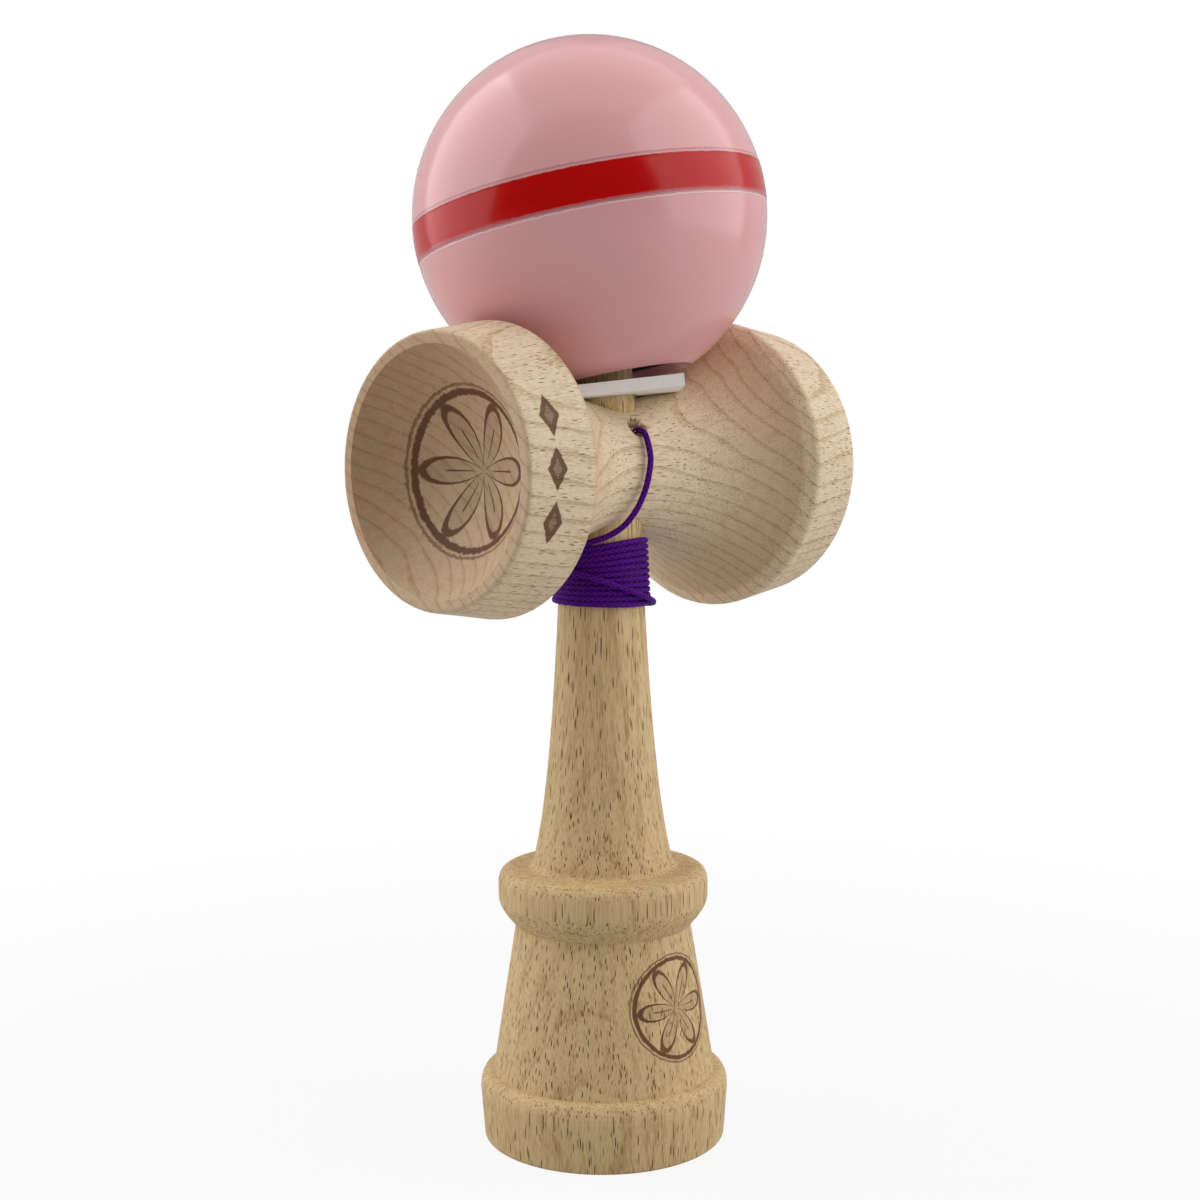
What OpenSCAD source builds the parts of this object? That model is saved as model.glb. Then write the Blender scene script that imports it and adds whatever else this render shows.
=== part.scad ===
// A kendama: a turned ken with a spike, a cross piece with two cups, and a ball on a string.
// The ball rests on the spike over a thin card and the string is wound round the ken.
// Millimetres, +Z up, the ken's axis is Z, the cross piece lies along X, the string hole faces -Y.

/* [Ken, the handle] */
// Length from the base rim to the tip of the spike
ken_h = 165; // [150:0.5:180]
// Diameter of the base ring at its widest
base_d = 43.2; // [38:0.2:48]
// Diameter of the base at the rim it stands on
base_foot_d = 42; // [37:0.2:46]
// Height of the base ring
base_h = 11.8; // [8:0.2:16]
// Diameter of the cup hollowed into the base, at its mouth
base_mouth_d = 35; // [28:0.5:38]
// Depth of the cup hollowed into the base
base_cup_depth = 7.5; // [4:0.5:10]
// Diameter of the body where it leaves the base ring
body_low_d = 38.6; // [34:0.2:42]
// Diameter of the body under the collar
body_top_d = 30.4; // [26:0.2:34]
// Height at which the collar starts
collar_z = 37.5; // [30:0.5:44]
// Diameter of the collar
collar_d = 36.4; // [32:0.2:42]
// Height of the collar
collar_h = 9.9; // [8:0.1:12]
// Diameter of the grip where it leaves the collar
grip_foot_d = 24; // [20:0.2:28]
// Diameter of the grip at its top, also the shoulder that carries the cross piece
grip_top_d = 14; // [13.4:0.1:16]
// Diameter of the neck that carries the cross piece
neck_d = 12; // [10:0.1:13]
// Diameter of the spike just under its rounded tip
tip_d = 5.2; // [3:0.2:7]

/* [Sarado, the cross piece] */
// Height of the cross piece's own axis
sarado_z = 116.5; // [110:0.5:122]
// Diameter of the waist between the cups
waist_d = 21.8; // [20:0.2:24]
// Distance from the ken's axis to the small cup's lip
small_lip_x = 38; // [34:0.5:42]
// Distance from the ken's axis to the small cup's outer edge
small_edge_x = 25.5; // [22:0.5:28]
// Diameter of the small cup at its lip
small_lip_d = 44.2; // [40:0.2:46]
// Diameter of the small cup at its outer edge
small_edge_d = 48.2; // [44:0.2:50]
// Depth of the small cup's bowl
small_depth = 11; // [8:0.5:13]
// Distance from the ken's axis to the big cup's lip
big_lip_x = 40; // [36:0.5:44]
// Distance from the ken's axis to the big cup's outer edge
big_edge_x = 27.5; // [24:0.5:30]
// Diameter of the big cup at its lip
big_lip_d = 47.8; // [44:0.2:50]
// Diameter of the big cup at its outer edge
big_edge_d = 51.4; // [48:0.2:54]
// Depth of the big cup's bowl
big_depth = 13; // [9:0.5:15]
// Width of the flat lip round each bowl
lip_w = 2; // [1.2:0.1:3]
// Diameter of the string hole through the waist
string_hole_d = 2.5; // [2:0.1:3.2]
// Angle of the string hole above level
string_hole_up = 38; // [20:1:50]

/* [Tama, the ball] */
// Diameter of the ball
tama_d = 60; // [56:0.5:64]
// Diameter of the hole that takes the spike
tama_hole_d = 22; // [20:0.5:24]
// Width of the bevel round the mouth of the hole
tama_bevel = 1.5; // [0.5:0.1:2]
// Height of the hole's end above the ball's centre
hole_above = 15.7; // [14:0.1:18]
// Lean of the ball on the spike, in degrees
tama_lean = 10.85; // [8:0.05:11.5]
// Direction of the lean, counted from the big cup
lean_dir = 113.7; // [100:0.1:125]
// Offset of the ball's centre towards the big cup
tama_x = 0.4; // [0:0.1:0.8]
// Offset of the ball's centre away from the string hole
tama_y = 2.6; // [2:0.1:3]
// Width of the coloured band
stripe_w = 6.3; // [4:0.1:9]
// Height of the band's middle over the ball's centre, along the ball's axis
stripe_up = 0.45; // [-2:0.05:2]
// Depth of the band's coat
stripe_deep = 0.35; // [0.25:0.05:0.6]

/* [Spacer and string] */
// Side of the square card that keeps the ball off the cross piece
spacer_side = 27; // [22:0.5:28]
// Thickness of the card
spacer_t = 2; // [1:0.1:2.2]
// Tilt of the card, in degrees
spacer_tilt = 6.5; // [4:0.1:8]
// Diameter of the string
string_d = 1.1; // [0.9:0.05:1.2]
// Whole loops of the winding
loops = 6; // [3:1:6]
// Rise of the winding in one loop
pitch = 1.52; // [1.52:0.02:1.6]
// Diameter of the bead that keeps the string in the ball
bead_d = 7.4; // [6:0.2:8]

/* [Fits] */
// Radial clearance of the cross piece on the neck and the shoulder
seat_gap = 0.05; // [0.02:0.01:0.1]
// Distance kept between pieces that move past each other
clear = 0.3; // [0.3:0.05:0.5]
// Gap left between the band's coat and its groove
coat_gap = 0.02; // [0.01:0.01:0.05]
// Distance kept between the winding and the grip
wind_gap = 0.05; // [0.03:0.01:0.1]

/* [Hidden] */
$fn = 96;

// Number of steps in a small rounded edge and in the long curve of the grip
edge_steps = 6;
grip_steps = 28;

// Ken
base_r = base_d / 2;
base_foot_r = base_foot_d / 2;
base_edge = 0.6;
base_round = 3.2;
base_mouth_r = base_mouth_d / 2;
base_cup_r = (base_mouth_r * base_mouth_r + base_cup_depth * base_cup_depth) / (2 * base_cup_depth);
body_low_r = body_low_d / 2;
body_top_r = body_top_d / 2;
collar_r = collar_d / 2;
collar_top = collar_z + collar_h;
collar_bevel = collar_r - body_top_r;
collar_bead = 5;
collar_round = 2.6;
grip_foot_r = grip_foot_d / 2;
grip_fillet = 1.5;
grip_bend = [8.6, collar_top + 14.6];
grip_top_r = grip_top_d / 2;
shoulder_z = sarado_z - 7.5;
grip_top_z = shoulder_z - 5;
neck_r = neck_d / 2;
neck_top = sarado_z + 10;
tip_r = tip_d / 2;
tip_round = 2.2;

// Sarado
waist_r = waist_d / 2;
edge_round = 0.9;
lip_round = 0.7;
string_hole_r = string_hole_d / 2;
mouth_flare = 0.8;
sarado_c = [0, 0, sarado_z];
hole_out = [0, -cos(string_hole_up), sin(string_hole_up)];
hole_down = [0, -sin(string_hole_up), -cos(string_hole_up)];

// Spacer
spacer_top = sarado_z + waist_r + 2.7;
spacer_hole_r = neck_r + clear;

// Tama
tama_r = tama_d / 2;
tama_hole_r = tama_hole_d / 2;
mouth_r = tama_hole_r + tama_bevel;
mouth_deep = sqrt(tama_r * tama_r - mouth_r * mouth_r);
mouth_rise = 1.6;
tama_z = spacer_top + mouth_rise + mouth_deep * cos(tama_lean);
tama_c = [tama_x, tama_y, tama_z];
tama_axis = [sin(tama_lean) * cos(lean_dir), sin(tama_lean) * sin(lean_dir), cos(tama_lean)];
cord_hole_r = 1.4;
cord_hole_flare = 1;
coat_proud = 0.05;

// Bead and knots
string_r = string_d / 2;
bead_r = bead_d / 2;
bead_flat = bead_r - 0.3;
bead_up = hole_above - bead_r - clear;
bead_bore_r = string_r + 0.1;
bead_knot_r = 1.4;
knot_r = 1.6;
knot_out = 5.2;
knot_flat = 1.4;
pocket_r = knot_r + clear;
pocket_end = knot_out - knot_r - clear;

// Curves and directions
function bend(a, b, c, n) = [for (i = [0:n]) let (t = i / n, s = 1 - t) s * s * a + 2 * s * t * b + t * t * c];
function unit(v) = v / norm(v);
function flat_to(v, axis) = v - axis * (v * axis);
function tangent(path, i) = unit(path[min(i + 1, len(path) - 1)] - path[max(i - 1, 0)]);
function sideways(path, i, u) = i == len(path) ? [] : let (w = unit(flat_to(u, tangent(path, i))))
    concat([w], sideways(path, i + 1, w));

// Winding: a helix on the grip's own outline, its ends straight for one diameter
grip_line = bend([grip_foot_r, collar_top + grip_fillet], grip_bend, [grip_top_r, grip_top_z], grip_steps);
grip_table = [for (p = grip_line) [p[1], p[0]]];
wind_start = -180;
wind_last = 90;
loop_rings = 24;
wind_sides = 6;
wind_top = grip_top_z;
ring_turn = 360 / loop_rings;
wind_rings = loops * loop_rings + wind_last / ring_turn;
function wind_r(z) = lookup(min(z, grip_top_z), grip_table) + wind_gap + string_r;
function wind_at(i) = let (a = wind_start - i * ring_turn, z = wind_top - pitch * i / loop_rings)
    [wind_r(z) * cos(a), wind_r(z) * sin(a), z];
function wind_way(i) = let (a = wind_start - i * ring_turn) [sin(a), -cos(a), 0];
wind_turns = [for (i = [0:wind_rings]) wind_at(i)];
wind_in = wind_at(0) - string_d * wind_way(0);
wind_out = wind_at(wind_rings) + string_d * wind_way(wind_rings);
wind_path = concat([wind_in], wind_turns, [wind_out]);
wind_least = min([for (i = [0:wind_rings - ring_turn]) for (j = [i + ring_turn:wind_rings])
    norm(wind_turns[i] - wind_turns[j])]) - string_d;
echo(least_gap_of_the_winding_mm = wind_least);

// Free stretches of the string
string_sides = 8;
string_bend = 2 * string_d;
lead_lift = waist_r + string_r + 0.15 - string_bend;
lead_turn = [for (b = [0:30:90]) sarado_c + (lead_lift + string_bend * sin(b)) * hole_out
    + string_bend * (1 - cos(b)) * hole_down];
lead_hang = [[-0.4, -11.9, 118.5], [-0.9, -12, 115.5], [-1.6, -11.6, 112.5], [-2.6, -10.6, 109.5],
    [-3.9, -9.1, 107], [-5.4, -7, 105.3], [-6.9, -4.6, 104.3]];
lead_path = concat([sarado_c + (knot_out + knot_flat) * hole_out], lead_turn, lead_hang,
    [wind_in - string_d * wind_way(0), wind_in]);
tail_join = [5, 15, 122];
low_path = concat([wind_out, wind_out + string_d * wind_way(wind_rings)],
    [[3.6, 8.4, 95.1], [4.6, 9.2, 96.8], [5, 10, 99.4], [5, 10.8, 102.4], [5, 11.8, 106],
    [5, 13, 110], [5, 13.8, 114], [5, 14, 118], tail_join]);
over_r = tama_r + string_r + clear;
over_x = [5, 5, 5, 5, 5, 5, 5, 5, 4.4, 3.1, 1.5];
over_from = -32;
over_step = 10;
function over_at(i) = let (a = over_from + i * over_step, x = over_x[i],
    r = sqrt(over_r * over_r - (x - tama_x) * (x - tama_x))) [x, tama_y + r * cos(a), tama_z + r * sin(a)];
over_path = [for (i = [0:len(over_x) - 1]) over_at(i)];
over_side = unit(flat_to(over_path[len(over_x) - 1] - tama_c, tama_axis));
over_low = over_r - string_bend;
over_turn = [for (b = [0:30:90]) tama_c + (over_low + string_bend * cos(b)) * tama_axis
    + string_bend * (1 - sin(b)) * over_side];
inside_path = [for (h = [22, hole_above, bead_up - bead_flat]) tama_c + h * tama_axis];
over_join = over_path[2];
join_turn = over_from + 2 * over_step;
join_way = string_d * [0, -sin(join_turn), cos(join_turn)];
mid_path = concat([tail_join, [5, 16, 126], [5, 18.4, 130], [5, 21.6, 133.8], [5, 25.4, 138.2]],
    [over_path[0], over_path[1], over_join - join_way, over_join]);
high_path = concat([over_join, over_join + join_way], [for (i = [3:len(over_path) - 1]) over_path[i]],
    over_turn, inside_path);

// Helpers
module tube(path, d, sides) {
    n = len(path);
    first = tangent(path, 0);
    start = unit(flat_to(abs(first[2]) < 0.7 ? [0, 0, 1] : [0, 1, 0], first));
    across = sideways(path, 0, start);
    rings = [for (i = [0:n - 1]) for (k = [0:sides - 1]) let (a = k * 360 / sides)
        path[i] + d / 2 * (cos(a) * across[i] + sin(a) * cross(tangent(path, i), across[i]))];
    skin = [for (i = [0:n - 2]) for (k = [0:sides - 1]) for (h = [0, 1]) let (m = (k + 1) % sides)
        h == 0 ? [i * sides + k, (i + 1) * sides + k, (i + 1) * sides + m]
            : [i * sides + k, (i + 1) * sides + m, i * sides + m]];
    near_end = [for (k = [1:sides - 2]) [0, k, k + 1]];
    far_end = [for (k = [1:sides - 2]) let (b = (n - 1) * sides) [b, b + k + 1, b + k]];
    polyhedron(points = rings, faces = concat(skin, near_end, far_end), convexity = 10);
}

module on_tama() {
    translate(tama_c)
        rotate([0, 0, lean_dir])
            rotate([0, tama_lean, 0])
                children();
}

module on_string_hole() {
    translate(sarado_c)
        rotate([90 - string_hole_up, 0, 0])
            children();
}

module band(r) {
    intersection() {
        sphere(r = r);
        translate([0, 0, stripe_up - stripe_w / 2])
            cylinder(r = tama_d, h = stripe_w);
    }
}

module cup_half(edge_r, edge_x, lip_r, lip_x, depth) {
    rise = edge_r - waist_r;
    sweep = (edge_x * edge_x + rise * rise) / (2 * rise);
    edge_turn = asin(edge_x / sweep) - edge_round / sweep * 180 / PI;
    below = [waist_r + sweep - sweep * cos(edge_turn), sweep * sin(edge_turn)];
    edge = [edge_r, edge_x];
    lip = [lip_r, lip_x];
    wall = unit(lip - edge);
    mouth = lip_r - lip_w;
    bowl = (mouth * mouth + depth * depth) / (2 * depth);
    rotate_extrude()
        difference() {
            polygon(concat([[0, 0], [below[0], 0]], bend(below, edge, edge + edge_round * wall, edge_steps),
                bend(lip - lip_round * wall, lip, lip - [lip_round, 0], edge_steps), [[0, lip_x]]));
            translate([waist_r + sweep, 0])
                circle(r = sweep);
            translate([0, lip_x + bowl - depth])
                circle(r = bowl);
        }
}

module flare_room() {
    for (side = [-1, 1]) {
        x = side > 0 ? big_edge_x : small_edge_x;
        r = side > 0 ? big_edge_d / 2 : small_edge_d / 2;
        rise = r - waist_r;
        sweep = (x * x + rise * rise) / (2 * rise);
        translate(sarado_c)
            rotate([0, side * 90, 0])
                rotate_extrude()
                    difference() {
                        square([r + clear, x]);
                        translate([waist_r + sweep, 0])
                            circle(r = sweep - clear);
                    }
    }
}

// Sub-parts
module ken() {
    outline = concat([[0, 0]],
        bend([base_foot_r - base_edge, 0], [base_foot_r, 0], [base_foot_r, base_edge], edge_steps),
        bend([base_r, base_h - base_round], [base_r, base_h], [body_low_r, base_h], edge_steps),
        bend([body_top_r, collar_z], [collar_r, collar_z + collar_bevel], [collar_r, collar_z + collar_bead],
            edge_steps),
        bend([collar_r, collar_top - collar_round], [collar_r, collar_top],
            [collar_r - collar_round, collar_top], edge_steps),
        bend([grip_foot_r + grip_fillet, collar_top], [grip_foot_r, collar_top],
            [grip_foot_r, collar_top + grip_fillet], edge_steps),
        [for (i = [1:grip_steps]) grip_line[i]],
        [[grip_top_r, shoulder_z], [neck_r, shoulder_z], [neck_r, neck_top]],
        bend([tip_r, ken_h - tip_round], [tip_r, ken_h], [0, ken_h], edge_steps));
    color([0.78, 0.67, 0.51])
        difference() {
            rotate_extrude()
                polygon(outline);
            translate([0, 0, base_cup_depth - base_cup_r])
                sphere(r = base_cup_r);
            on_string_hole()
                translate([0, 0, pocket_end])
                    cylinder(r = pocket_r, h = neck_d);
        }
}

module sarado() {
    color([0.87, 0.78, 0.66])
        difference() {
            translate(sarado_c)
                union() {
                    rotate([0, 90, 0])
                        cup_half(big_edge_d / 2, big_edge_x, big_lip_d / 2, big_lip_x, big_depth);
                    rotate([0, -90, 0])
                        cup_half(small_edge_d / 2, small_edge_x, small_lip_d / 2, small_lip_x, small_depth);
                }
            translate([0, 0, sarado_z - waist_d])
                cylinder(r = neck_r + seat_gap, h = 2 * waist_d);
            translate([0, 0, sarado_z - waist_d])
                cylinder(r = grip_top_r + seat_gap, h = shoulder_z - sarado_z + waist_d);
            on_string_hole()
                cylinder(r = string_hole_r, h = waist_d);
            on_string_hole()
                translate([0, 0, waist_r - mouth_flare])
                    cylinder(r1 = string_hole_r, r2 = string_hole_r + 2 * mouth_flare, h = 2 * mouth_flare);
        }
}

module tama() {
    color([0.85, 0.65, 0.66])
        on_tama()
            difference() {
                sphere(r = tama_r);
                translate([0, 0, -tama_d])
                    cylinder(r = tama_hole_r, h = tama_d + hole_above);
                translate([0, 0, -mouth_deep - tama_bevel])
                    cylinder(r1 = mouth_r + tama_bevel, r2 = tama_hole_r, h = 2 * tama_bevel);
                cylinder(r = cord_hole_r, h = tama_d);
                translate([0, 0, tama_r - cord_hole_flare])
                    cylinder(r1 = cord_hole_r, r2 = cord_hole_r + 2 * cord_hole_flare, h = 2 * cord_hole_flare);
                difference() {
                    translate([0, 0, stripe_up - stripe_w / 2 - coat_gap])
                        cylinder(r = tama_d, h = stripe_w + 2 * coat_gap);
                    sphere(r = tama_r - stripe_deep - coat_gap);
                }
            }
}

module tama_stripe() {
    color([0.62, 0.04, 0.05])
        on_tama()
            difference() {
                band(tama_r + coat_proud);
                sphere(r = tama_r - stripe_deep);
            }
}

module spacer() {
    color([0.96, 0.96, 0.95])
        difference() {
            translate([0, 0, spacer_top])
                rotate([0, 0, lean_dir])
                    rotate([0, spacer_tilt, 0])
                        rotate([0, 0, 45 - lean_dir])
                            translate([-spacer_side / 2, -spacer_side / 2, -spacer_t])
                                cube([spacer_side, spacer_side, spacer_t]);
            flare_room();
            on_tama()
                difference() {
                    sphere(r = tama_r + clear);
                    translate([0, 0, -tama_d])
                        cylinder(r = mouth_r - clear, h = tama_d);
                }
            cylinder(r = spacer_hole_r, h = ken_h);
        }
}

module bead() {
    color([0.70, 0.52, 0.33])
        on_tama()
            translate([0, 0, bead_up])
                difference() {
                    intersection() {
                        sphere(r = bead_r);
                        translate([0, 0, -bead_flat])
                            cylinder(r = bead_r, h = 2 * bead_flat);
                    }
                    translate([0, 0, -bead_r])
                        cylinder(r = bead_bore_r, h = bead_d);
                }
}

module bead_knot() {
    color([0.30, 0.10, 0.52])
        on_tama()
            translate([0, 0, bead_up - bead_flat])
                intersection() {
                    translate([0, 0, -knot_flat + coat_gap])
                        sphere(r = bead_knot_r);
                    translate([0, 0, -bead_d - coat_gap])
                        cylinder(r = bead_r, h = bead_d);
                }
}

module string_knot() {
    color([0.30, 0.10, 0.52])
        on_string_hole()
            translate([0, 0, knot_out])
                intersection() {
                    sphere(r = knot_r);
                    translate([0, 0, -bead_d + knot_flat - coat_gap])
                        cylinder(r = bead_r, h = bead_d);
                }
}

module string_lead() {
    color([0.32, 0.10, 0.55])
        tube(lead_path, string_d, string_sides);
}

module string_winding() {
    color([0.32, 0.10, 0.55])
        tube(wind_path, string_d, wind_sides);
}

module string_tail_low() {
    color([0.32, 0.10, 0.55])
        tube(low_path, string_d, string_sides);
}

module string_tail_mid() {
    color([0.32, 0.10, 0.55])
        tube(mid_path, string_d, string_sides);
}

module string_tail_high() {
    color([0.32, 0.10, 0.55])
        tube(high_path, string_d, string_sides);
}

ken();
sarado();
tama();
tama_stripe();
spacer();
bead();
bead_knot();
string_knot();
string_lead();
string_winding();
string_tail_low();
string_tail_mid();
string_tail_high();
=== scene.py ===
# %% [markdown]
# A kendama is a cup-and-ball toy: a turned handle with a spike (the ken), a cross piece with
# a cup at each end (the sarado) and a ball on a string (the tama). The solids of the wooden
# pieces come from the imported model, so this lesson gives them their finishes, and makes the
# string and its knots, which are soft and so are modelled here.

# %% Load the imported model
import math

import bpy
from mathutils import Matrix, Vector


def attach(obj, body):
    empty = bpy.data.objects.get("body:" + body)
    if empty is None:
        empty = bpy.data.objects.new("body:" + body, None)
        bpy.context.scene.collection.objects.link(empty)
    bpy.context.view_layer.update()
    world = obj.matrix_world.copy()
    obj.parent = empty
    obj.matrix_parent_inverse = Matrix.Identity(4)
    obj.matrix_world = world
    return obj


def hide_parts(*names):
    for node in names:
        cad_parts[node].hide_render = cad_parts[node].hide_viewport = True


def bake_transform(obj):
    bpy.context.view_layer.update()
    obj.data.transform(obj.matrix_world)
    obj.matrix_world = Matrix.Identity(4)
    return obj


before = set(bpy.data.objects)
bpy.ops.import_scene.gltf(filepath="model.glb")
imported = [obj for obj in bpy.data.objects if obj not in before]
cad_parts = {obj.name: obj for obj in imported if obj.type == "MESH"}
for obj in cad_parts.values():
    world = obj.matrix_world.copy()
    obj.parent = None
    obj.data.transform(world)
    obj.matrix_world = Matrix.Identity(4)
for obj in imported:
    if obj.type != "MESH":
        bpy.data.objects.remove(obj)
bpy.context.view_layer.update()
MM = 0.001

# %% [markdown]
# The camera comes first, because everything else is judged through it. Its place and lens were
# found by fitting circles of the turned pieces to the photograph, so the script only repeats
# the result: where it stands, where it looks, and which way is up.

# %% Camera
CAMERA_AT = Vector((-231.5, -222.82, 124.93)) * MM
CAMERA_LOOKS = Vector((0.71661, 0.69074, -0.09667)).normalized()
CAMERA_UP = Vector((0.07361, 0.06293, 0.9953))
LENS = 56.383

camera_data = bpy.data.cameras.new("camera")
camera_data.lens = LENS
camera_data.sensor_width = 36
camera = bpy.data.objects.new("camera", camera_data)
bpy.context.collection.objects.link(camera)
across = CAMERA_LOOKS.cross(CAMERA_UP).normalized()
upright = across.cross(CAMERA_LOOKS)
turn = Matrix((across, upright, -CAMERA_LOOKS)).transposed().to_4x4()
camera.matrix_world = Matrix.Translation(CAMERA_AT) @ turn
bpy.context.scene.camera = camera
print("camera stands", round(CAMERA_AT.length / MM), "mm from the foot of the ken")

# %% [markdown]
# The string is one braided cord. A knot holds one end behind the sarado's string hole. From the hole it hangs
# down the waist, winds round the grip, climbs behind the sarado and over the back of the ball, and goes
# through the hole at the ball's top to a bead. It could be a curve with a bevel, but its stretches run
# between moving bodies, so each stretch is a mesh tube swept along a smooth line. A map along each tube lets
# the braid follow the cord.

# %% Helpers for lines in space
STRING_D = 1.02


def smooth_route(points, step=0.5):
    """Points close together on one smooth line through the given points, in millimetres."""
    points = [Vector(p) for p in points]
    ends = [2 * points[0] - points[1]] + points + [2 * points[-1] - points[-2]]
    route = []
    for a, b, c, d in zip(ends, ends[1:], ends[2:], ends[3:]):
        count = max(2, round((c - b).length / step))
        for i in range(count):
            t = i / count
            route.append(0.5 * (2 * b + (c - a) * t + (2 * a - 5 * b + 4 * c - d) * t ** 2
                                + (3 * b - a - 3 * c + d) * t ** 3))
    return route + [points[-1]]


def route_length(route):
    return sum((b - a).length for a, b in zip(route, route[1:]))


def tube(name, route, diameter, sides=14):
    """A closed tube round a line, with a map that runs round it and along it in millimetres."""
    count = len(route)
    ways = [(route[min(i + 1, count - 1)] - route[max(i - 1, 0)]).normalized() for i in range(count)]
    side = ways[0].orthogonal().normalized()
    places, along = [], [0.0]
    for i, (point, way) in enumerate(zip(route, ways)):
        side = (side - way * side.dot(way)).normalized()
        other = way.cross(side)
        for k in range(sides):
            a = 2 * math.pi * k / sides
            places.append((point + diameter / 2 * (math.cos(a) * side + math.sin(a) * other)) * MM)
        if i:
            along.append(along[-1] + (point - route[i - 1]).length)
    faces = []
    for i in range(count - 1):
        for k in range(sides):
            here, beside_it = i * sides + k, i * sides + (k + 1) % sides
            faces.append((here, beside_it, beside_it + sides, here + sides))
    faces += [tuple(range(sides))[::-1], tuple(range((count - 1) * sides, count * sides))]
    mesh = bpy.data.meshes.new(name)
    mesh.from_pydata(places, [], faces)
    mesh.polygons.foreach_set("use_smooth", [True] * len(mesh.polygons))
    weave = mesh.uv_layers.new(name="weave")
    for face in mesh.polygons:
        round_start = (face.index % sides) / sides
        for corner in face.loop_indices:
            vertex = mesh.loops[corner].vertex_index
            k = vertex % sides
            around = 1.0 if k == 0 and round_start > 0.5 else k / sides
            weave.data[corner].uv = (around, along[vertex // sides])
    piece = bpy.data.objects.new(name, mesh)
    bpy.context.collection.objects.link(piece)
    return piece


# %% Where the cross piece and the ball are
SARADO = Vector((0, 0, 116.5))
WAIST_R = 10.9
BALL_R, MOUTH_R = 30, 12.5
# The middle of the ball's mouth lies this far over the waist, and the ball this far off the ken's axis
MOUTH_OVER_WAIST = 4.3
BALL_X, BALL_Y = 0.4, 2.6
BALL_LEAN, LEAN_DIR = math.radians(10.85), math.radians(113.7)
BALL_AXIS = Vector((math.sin(BALL_LEAN) * math.cos(LEAN_DIR), math.sin(BALL_LEAN) * math.sin(LEAN_DIR),
                    math.cos(BALL_LEAN)))
MOUTH_DEEP = math.sqrt(BALL_R ** 2 - MOUTH_R ** 2)
BALL = Vector((BALL_X, BALL_Y, SARADO.z + WAIST_R + MOUTH_OVER_WAIST + MOUTH_DEEP * math.cos(BALL_LEAN)))
print("ball centre", [round(v, 2) for v in BALL])

# %% [markdown]
# The spare string is wound round the grip by hand. Close rows run down the grip and spread at the
# right of the front, and the upper ones ride up in front and behind, where the cross piece leaves
# room. The last loop crosses up over the rows in front and ends behind the grip. The rows
# lie a little closer than the string is thick, because a limp braid gives way when it is pulled.

# %% The winding
# The grip's outline under the winding, as the part's source draws it
GRIP = [Vector((12, 48.9)), Vector((8.6, 62)), Vector((7, 104))]
GRIP_TOP = GRIP[2].y
# Distance of the string's middle from the grip, and the straight bit where one stretch meets the next
ON_GRIP, STRAIGHT = 0.6, 1.1
# Height of the first row and of the winding's end, and the distance from row to row
WIND_TOP, WIND_LOW, ROW = 103.8, 94.5, 0.93
# Angle at which the winding starts, and its loops: the rows, and one more that crosses them
WIND_START, ROWS = -180, 11.25
WIND_LOOPS = ROWS + 1
POINTS_IN_A_LOOP = 48
# How far the rows tilt, how far they ride up under the cross piece, and how far the last loop climbs
TILT, RIDE_UP, CROSS_UP = 0.45, 0.8, 6.6
# Parts of the last loop in which it steps out over the rows, climbs, and comes down to its end
STEP_OUT, CLIMB, COME_DOWN = (0.22, 0.40), (0.26, 0.80), (0.76, 1.0)


def grip_radius(z):
    """The grip's radius at a height, found by halving the part of the outline in which it lies."""
    low, high = 0.0, 1.0
    for _ in range(40):
        t = (low + high) / 2
        at = GRIP[0] * (1 - t) ** 2 + 2 * t * (1 - t) * GRIP[1] + t * t * GRIP[2]
        low, high = (t, high) if at.y < z else (low, t)
    return at.x


def ease(value, low, high):
    """0 up to low, 1 from high on, and a smooth rise between them."""
    t = min(1.0, max(0.0, (value - low) / (high - low)))
    return t * t * (3 - 2 * t)


def winding_angle(turns):
    return math.radians(WIND_START - 360 * turns)


def winding_point(turns):
    angle, last = winding_angle(turns), turns - ROWS
    z = WIND_TOP - ROW * turns + TILT * (1 - 2 * turns / ROWS) * math.cos(angle + math.pi / 4)
    z += RIDE_UP * math.sin(angle) ** 2 * max(0.0, 1 - turns / ROWS)
    z += CROSS_UP * ease(last, *CLIMB)
    end = ease(last, *COME_DOWN)
    z = z * (1 - end) + WIND_LOW * end
    r = grip_radius(min(z, GRIP_TOP)) + ON_GRIP + ROW * ease(last, *STEP_OUT)
    return Vector((r * math.cos(angle), r * math.sin(angle), z))


def winding_way(turns):
    """The direction in which the string runs round the grip."""
    angle = winding_angle(turns)
    return Vector((math.sin(angle), -math.cos(angle), 0))


STEPS = round(WIND_LOOPS * POINTS_IN_A_LOOP)
turns_route = [winding_point(WIND_LOOPS * i / STEPS) for i in range(STEPS + 1)]
way_in, way_out = (STRAIGHT * winding_way(turns) for turns in (0, WIND_LOOPS))
wind_in, wind_out = turns_route[0] - way_in, turns_route[-1] + way_out
winding_route = [wind_in] + turns_route + [wind_out]
winding = tube("string_wound", winding_route, STRING_D, sides=10)
print("winding", round(route_length(winding_route)), "mm of string in", round(WIND_LOOPS, 1), "loops")

# %% The lead from the string hole to the winding
HOLE_UP = math.radians(38)
hole_out = Vector((0, -math.cos(HOLE_UP), math.sin(HOLE_UP)))
hole_down = Vector((0, -math.sin(HOLE_UP), -math.cos(HOLE_UP)))
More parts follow.
